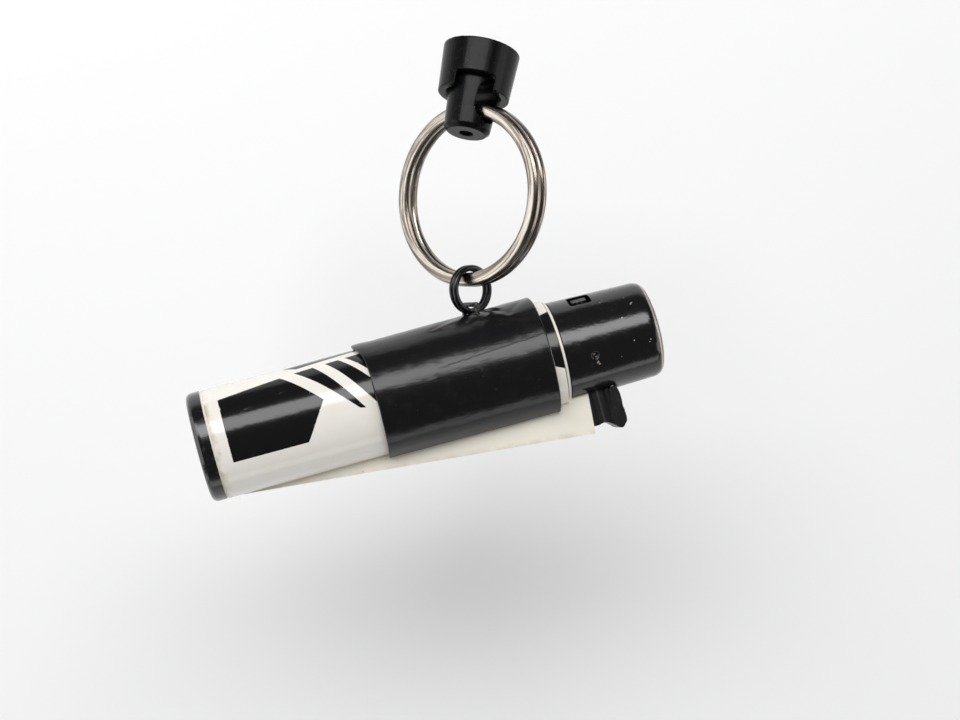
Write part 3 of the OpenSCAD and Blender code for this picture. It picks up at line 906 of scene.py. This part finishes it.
# %% Hood shell
OUTER = ((58.3, 8.05), (62.1, 7.955), (63.5, 7.92), (72.3, 7.7), (72.9, 7.62),
         (73.38, 7.4), (73.72, 7.08), (73.93, 6.6), (74.0, 5.9))
INNER = ((73.98, 5.2), (73.75, 4.9), (73.45, 4.95), (73.5, 5.7), (73.45, 6.4),
         (73.3, 6.8), (73.0, 7.08), (72.6, 7.25), (72.0, 7.32), (64.5, 7.58),
         (58.3, 7.65))
DIMPLE_AT, DIMPLE_ANGLE, DIMPLE_R = 62.8, 104.0, 0.52
DIMPLE_DEEP, DIMPLE_LIP, HOOD_R, MOUTH_FROM = 0.42, 0.035, 7.94, 72.4
WIDE_STEP, FINE_STEP, FINE_WITHIN = 1.6, 0.6, 7  # degrees round the hood


def finely(points, step_of):
    fine = []
    for p, q in zip(points, points[1:]):
        count = max(1, round((Vector(q) - Vector(p)).length / step_of(p, q)))
        fine += [tuple(Vector(p).lerp(Vector(q), k / count)) for k in range(count)]
    return fine


section = finely(OUTER + INNER + OUTER[:1],
                 lambda p, q: 0.09 if (p, q) == (OUTER[1], OUTER[2]) else 0.3)
angles = []
a = -180.0
while a <= 179.5:
    angles.append(a)
    a += FINE_STEP if abs(abs(a) - DIMPLE_ANGLE) < FINE_WITHIN else WIDE_STEP
work = bmesh.new()
loops = []
for angle in angles:
    column = []
    turn = math.radians(angle)
    for k, (s, r) in enumerate(section):
        away = math.hypot(s - DIMPLE_AT, math.radians(abs(angle) - DIMPLE_ANGLE) * HOOD_R)
        dent = DIMPLE_DEEP * math.exp(-(away / DIMPLE_R) ** 4)
        dent -= DIMPLE_LIP * math.exp(-((away - 0.75) / 0.2) ** 2)
        broad = Vector((s * 0.35, math.sin(turn) * 2.4, math.cos(turn) * 2.4))
        close = Vector((s * 0.8, math.sin(turn) * 5, math.cos(turn) * 5))
        wobble = 0.035 * noise.noise(broad)
        wobble += 0.07 * max(0.0, s - MOUTH_FROM) * noise.noise(close)
        r = r - dent + wobble * 0.8
        column.append(work.verts.new((s, -r * math.sin(turn), r * math.cos(turn))))
    loops.append(column)
for left, right in zip(loops, loops[1:] + loops[:1]):
    for k in range(len(section)):
        m = (k + 1) % len(section)
        work.faces.new((left[k], left[m], right[m], right[k]))
bmesh.ops.recalc_face_normals(work, faces=work.faces)
mesh = bpy.data.meshes.new("hood_shell")
work.to_mesh(mesh)
work.free()
print("hood before cutting", len(mesh.polygons), "faces")

# %% [markdown]
# The cutters are prisms with rounded corners. Cutting with solids keeps the
# wall's thickness visible at the window, which a painted hole would not.

# %% Cut the window and the notch


def rounded_prism(x0, x1, half, corner, low, high, turn=0.0):
    """Upright prism over a rounded rectangle, from low to high, turned about X."""
    work, outline = bmesh.new(), []
    for cx, cy, start in ((x1 - corner, half - corner, 0),
                          (x0 + corner, half - corner, 90),
                          (x0 + corner, corner - half, 180),
                          (x1 - corner, corner - half, 270)):
        for k in range(7):
            b = math.radians(start + 15 * k)
            point = (cx + corner * math.cos(b), cy + corner * math.sin(b), low)
            outline.append(work.verts.new(point))
    face = work.faces.new(outline)
    grown = bmesh.ops.extrude_face_region(work, geom=[face])
    bmesh.ops.translate(work, vec=(0, 0, high - low),
                        verts=[v for v in grown["geom"] if isinstance(v, bmesh.types.BMVert)])
    bmesh.ops.recalc_face_normals(work, faces=work.faces)
    mesh = bpy.data.meshes.new("cutter")
    work.to_mesh(mesh)
    work.free()
    mesh.transform(Matrix.Rotation(turn, 4, "X"))
    tool = bpy.data.objects.new("cutter", mesh)
    bpy.context.scene.collection.objects.link(tool)
    return tool


shape = bpy.data.objects.new("hood_work", mesh)
bpy.context.scene.collection.objects.link(shape)
WINDOW_TURN = math.radians(24)
tools = [rounded_prism(61.4, 65.0, 1.7, 0.5, 7.0, 9.0, WINDOW_TURN),
         rounded_prism(56.0, 65.86, 3.1, 0.4, -9.5, -5.0)]
for tool in tools:
    cut = shape.modifiers.new("cut", "BOOLEAN")
    cut.operation, cut.object, cut.solver = "DIFFERENCE", tool, "EXACT"
mesh = baked(shape, *tools)
mesh.transform(LIGHTER)
mesh.shade_smooth()
mesh.set_sharp_from_angle(angle=math.radians(48))
hood = new_piece("hood_pressed_shell", mesh, paint.material)
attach(hood, "lighter")
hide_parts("hood")
print("hood", len(mesh.polygons), "faces")

# %% [markdown]
# ## Dress the parts that stay as measured
#
# The remaining solids are already the right shape. Each gets its finish in
# place of the flat colour it was packed with; the mesh itself is not touched.

# %% Assign finishes
for node, material in finish_of.items():
    data = frame["nodes"][node].data
    if data.materials:
        for k in range(len(data.materials)):
            data.materials[k] = material
    else:
        data.materials.append(material)
print(len(finish_of), "parts dressed")

# %% [markdown]
# ## Wall and light
#
# The lighter hangs in front of a white wall, far enough away to swing without
# touching it. The wall is seen from the front only: its back is clear, so the
# object can be looked at from behind too. One wide soft light stands up in
# front and puts the long highlight along the tube. Two panels at the sides and
# a strip below light the wall and the white film with little effect on the
# black parts.

# %% Stage
wall_paint = bpy.data.materials.new("White wall")
wall_paint.use_nodes = True
nodes, links = wall_paint.node_tree.nodes, wall_paint.node_tree.links
body = nodes["Principled BSDF"]
body.inputs["Base Color"].default_value = (0.93, 0.932, 0.935, 1)
body.inputs["Roughness"].default_value = 0.9
clear = nodes.new("ShaderNodeBsdfTransparent")
either = nodes.new("ShaderNodeMixShader")
facing = nodes.new("ShaderNodeNewGeometry")
links.new(facing.outputs["Backfacing"], either.inputs[0])
links.new(body.outputs[0], either.inputs[1])
links.new(clear.outputs[0], either.inputs[2])
links.new(either.outputs[0], nodes["Material Output"].inputs["Surface"])


def sheet_of(name, corners):
    mesh = bpy.data.meshes.new(name)
    mesh.from_pydata(corners, [], [(0, 1, 2, 3)])
    mesh.materials.append(wall_paint)
    thing = bpy.data.objects.new(name, mesh)
    bpy.context.scene.collection.objects.link(thing)
    return thing


WALL_Y, REACH = 0.062, 1.6
wall = sheet_of("wall", [(-REACH, WALL_Y, -REACH), (REACH, WALL_Y, -REACH),
                         (REACH, WALL_Y, REACH), (-REACH, WALL_Y, REACH)])


def soft_light(name, at, aim, size, watts):
    lamp = bpy.data.lights.new(name, "AREA")
    lamp.shape, lamp.size, lamp.size_y = "RECTANGLE", size[0], size[1]
    lamp.energy = watts
    thing = bpy.data.objects.new(name, lamp)
    thing.location = at
    thing.rotation_euler = (Vector(aim) - Vector(at)).to_track_quat("-Z", "Y").to_euler()
    bpy.context.scene.collection.objects.link(thing)


MIDDLE, LOW_WALL = (0.0, 0.0, -0.045), (0, 0.05, -0.12)
soft_light("key", (-0.06, -0.5, 0.27), MIDDLE, (0.7, 0.26), 3.4)
soft_light("left side", (-0.62, -0.18, -0.12), LOW_WALL, (0.4, 0.8), 2.2)
soft_light("right side", (0.66, -0.18, -0.12), LOW_WALL, (0.4, 0.8), 2.1)
soft_light("below", (0.0, -0.05, -0.5), (0, 0.06, -0.14), (0.9, 0.12), 0.5)
world = bpy.data.worlds.new("Studio")
world.use_nodes = True
world.node_tree.nodes["Background"].inputs["Color"].default_value = (1, 1, 1, 1)
world.node_tree.nodes["Background"].inputs["Strength"].default_value = 0.12
bpy.context.scene.world = world
bpy.context.scene.view_settings.view_transform = "Standard"
print("stage ready")

# %% [markdown]
# ## Camera
#
# A short telephoto, level, straight at the wall, a foot away.

# %% Camera
lens = bpy.data.cameras.new("camera")
lens.lens, lens.sensor_width, lens.clip_start = 67.5, 36.0, 0.01
camera = bpy.data.objects.new("camera", lens)
camera.location = (-0.0003, -0.28703, -0.0492)
camera.rotation_euler = (math.pi / 2, 0, 0)
bpy.context.scene.collection.objects.link(camera)
bpy.context.scene.camera = camera
